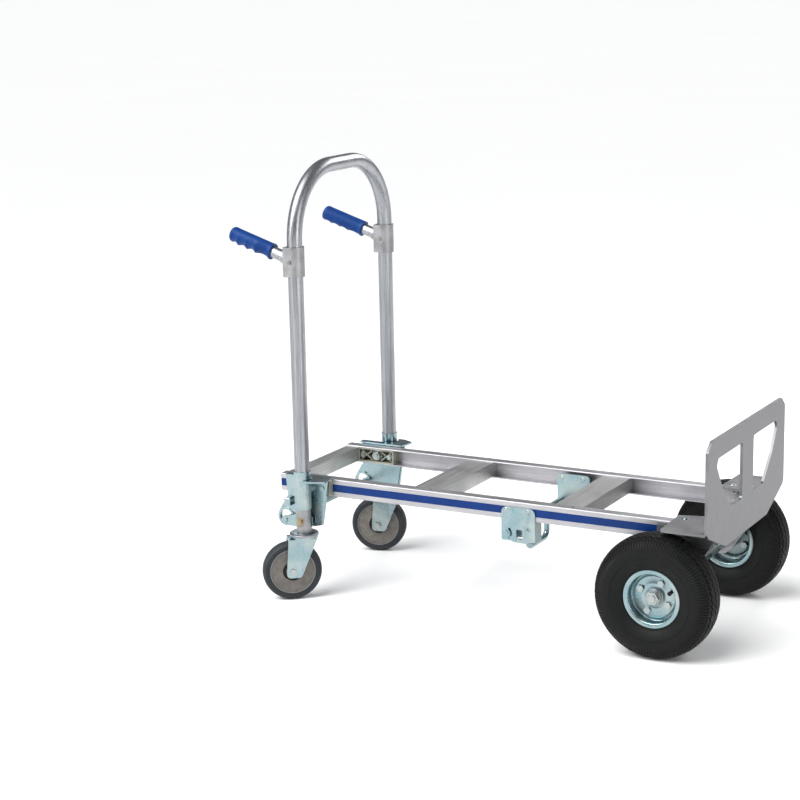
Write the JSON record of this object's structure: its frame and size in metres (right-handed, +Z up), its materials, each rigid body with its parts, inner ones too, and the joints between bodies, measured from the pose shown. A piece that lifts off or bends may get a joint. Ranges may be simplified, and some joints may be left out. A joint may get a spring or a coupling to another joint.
{
  "type": "convertible hand truck",
  "caption": "Convertible hand truck as a platform cart: channel rails, crossbars, folding sliding loop handle with grips, swivel casters, nose plate and pneumatic wheels.",
  "frame": {"origin": "on the floor, under the centre of the bounding box, as a platform cart with its handle upright", "axes": "+X along the rails from the handle end to the nose plate, +Y to the left of someone pushing the cart, +Z up"},
  "size_m": [1.104, 0.514, 0.932],
  "materials": {
    "rail_aluminium": "satin extruded",
    "blue_vinyl": "glossy vinyl",
    "mill_aluminium": "satin mill",
    "dark_rivet": "dull",
    "cast_aluminium": "satin",
    "zinc_fastener": "zinc plated",
    "bracket_aluminium": "satin",
    "pivot_casting": "fine cast, painted warm grey",
    "zinc_plate": "zinc plated, semi-gloss",
    "polished_aluminium": "polished",
    "clamp_aluminium": "cast, bead blasted",
    "blue_grip": "moulded vinyl",
    "brass_bolt": "dull",
    "raceway_steel": "dull zinc",
    "caster_rubber": "matt",
    "caster_hub_plastic": "matt",
    "tyre_rubber": "matt black",
    "hub_steel": "zinc plated",
    "valve_rubber": "black"
  },
  "bodies": {
    "frame": {"left_rail": "rail_aluminium", "right_rail": "rail_aluminium", "side_stripes": "blue_vinyl", "end_crossbar": "mill_aluminium", "middle_crossbar": "mill_aluminium", "lower_crossbar": "mill_aluminium", "crossbar_rivets": "dark_rivet", "nose_plate": "cast_aluminium", "nose_bolts": "zinc_fastener", "axle_brackets": "bracket_aluminium", "axle_bracket_bolts": "zinc_fastener", "axle": "zinc_fastener", "axle_washers": "zinc_fastener", "axle_nuts": "zinc_fastener", "inner_castings": "pivot_casting", "outer_castings": "pivot_casting", "left_pivot_bracket": "zinc_plate", "right_pivot_bracket": "zinc_plate", "casting_bolts": "zinc_fastener", "stop_bolts": "zinc_fastener", "latch_brackets": "zinc_plate", "latch_bracket_bolts": "zinc_fastener", "latch_springs": "dark_rivet"},
    "sleeves": {"left_sleeve": "zinc_plate", "right_sleeve": "zinc_plate", "pivot_studs": "zinc_fastener", "pivot_nuts": "zinc_fastener"},
    "handle": {"handle_tube": "polished_aluminium", "left_grip_clamp": "clamp_aluminium", "right_grip_clamp": "clamp_aluminium", "clamp_screws": "dark_rivet", "grip_tubes": "polished_aluminium", "left_grip": "blue_grip", "right_grip": "blue_grip", "leg_ends": "clamp_aluminium", "rod_tabs": "zinc_plate", "cross_rod": "zinc_plate", "leg_end_bolts": "brass_bolt", "caster_raceways": "raceway_steel", "caster_kingpins": "dark_rivet"},
    "latch": {"release_rod": "zinc_plate", "latch_hooks": "zinc_plate"},
    "left_swivel": {"left_fork": "zinc_plate", "left_caster_bolt": "zinc_fastener"},
    "right_swivel": {"right_fork": "zinc_plate", "right_caster_bolt": "zinc_fastener"},
    "left_caster_wheel": {"left_caster_tread": "caster_rubber", "left_caster_hub": "caster_hub_plastic"},
    "right_caster_wheel": {"right_caster_tread": "caster_rubber", "right_caster_hub": "caster_hub_plastic"},
    "left_wheel": {"left_tyre": "tyre_rubber", "left_rim": "zinc_plate", "left_hub": "hub_steel", "left_rim_bolts": "zinc_fastener", "left_valve": "valve_rubber"},
    "right_wheel": {"right_tyre": "tyre_rubber", "right_rim": "zinc_plate", "right_hub": "hub_steel", "right_rim_bolts": "zinc_fastener", "right_valve": "valve_rubber"}
  },
  "joints": [
    {"name": "handle_pivot", "type": "hinge", "parent": "frame", "child": "sleeves", "pos_m": [-0.39548, 0, 0.239], "axis": [0, 1, 0], "range_deg": [-90, 0]},
    {"name": "handle_slide", "type": "slide", "parent": "sleeves", "child": "handle", "axis": [0, 0, 1], "range_m": [-0.417, 0]},
    {"name": "left_swivel_turn", "type": "hinge", "parent": "handle", "child": "left_swivel", "pos_m": [-0.39548, 0.188, 0.1397], "axis": [0, 0, -1], "continuous": true},
    {"name": "right_swivel_turn", "type": "hinge", "parent": "handle", "child": "right_swivel", "pos_m": [-0.39548, -0.188, 0.1397], "axis": [0, 0, 1], "continuous": true},
    {"name": "left_caster_roll", "type": "hinge", "parent": "left_swivel", "child": "left_caster_wheel", "pos_m": [-0.42226, 0.17981, 0.0635], "axis": [-0.2924, 0.9563, 0], "continuous": true},
    {"name": "right_caster_roll", "type": "hinge", "parent": "right_swivel", "child": "right_caster_wheel", "pos_m": [-0.41755, -0.20524, 0.0635], "axis": [-0.6157, 0.788, 0], "continuous": true},
    {"name": "left_wheel_roll", "type": "hinge", "parent": "frame", "child": "left_wheel", "pos_m": [0.42652, 0.214, 0.1255], "axis": [0, 1, 0], "continuous": true},
    {"name": "right_wheel_roll", "type": "hinge", "parent": "frame", "child": "right_wheel", "pos_m": [0.42652, -0.214, 0.1255], "axis": [0, 1, 0], "continuous": true},
    {"name": "latch_release", "type": "hinge", "parent": "frame", "child": "latch", "pos_m": [0.06772, 0, 0.191], "axis": [0, 1, 0], "range_deg": [0, 30], "stiffness_Nm_per_rad": 0.4, "springref_deg": -22.92}
  ]
}
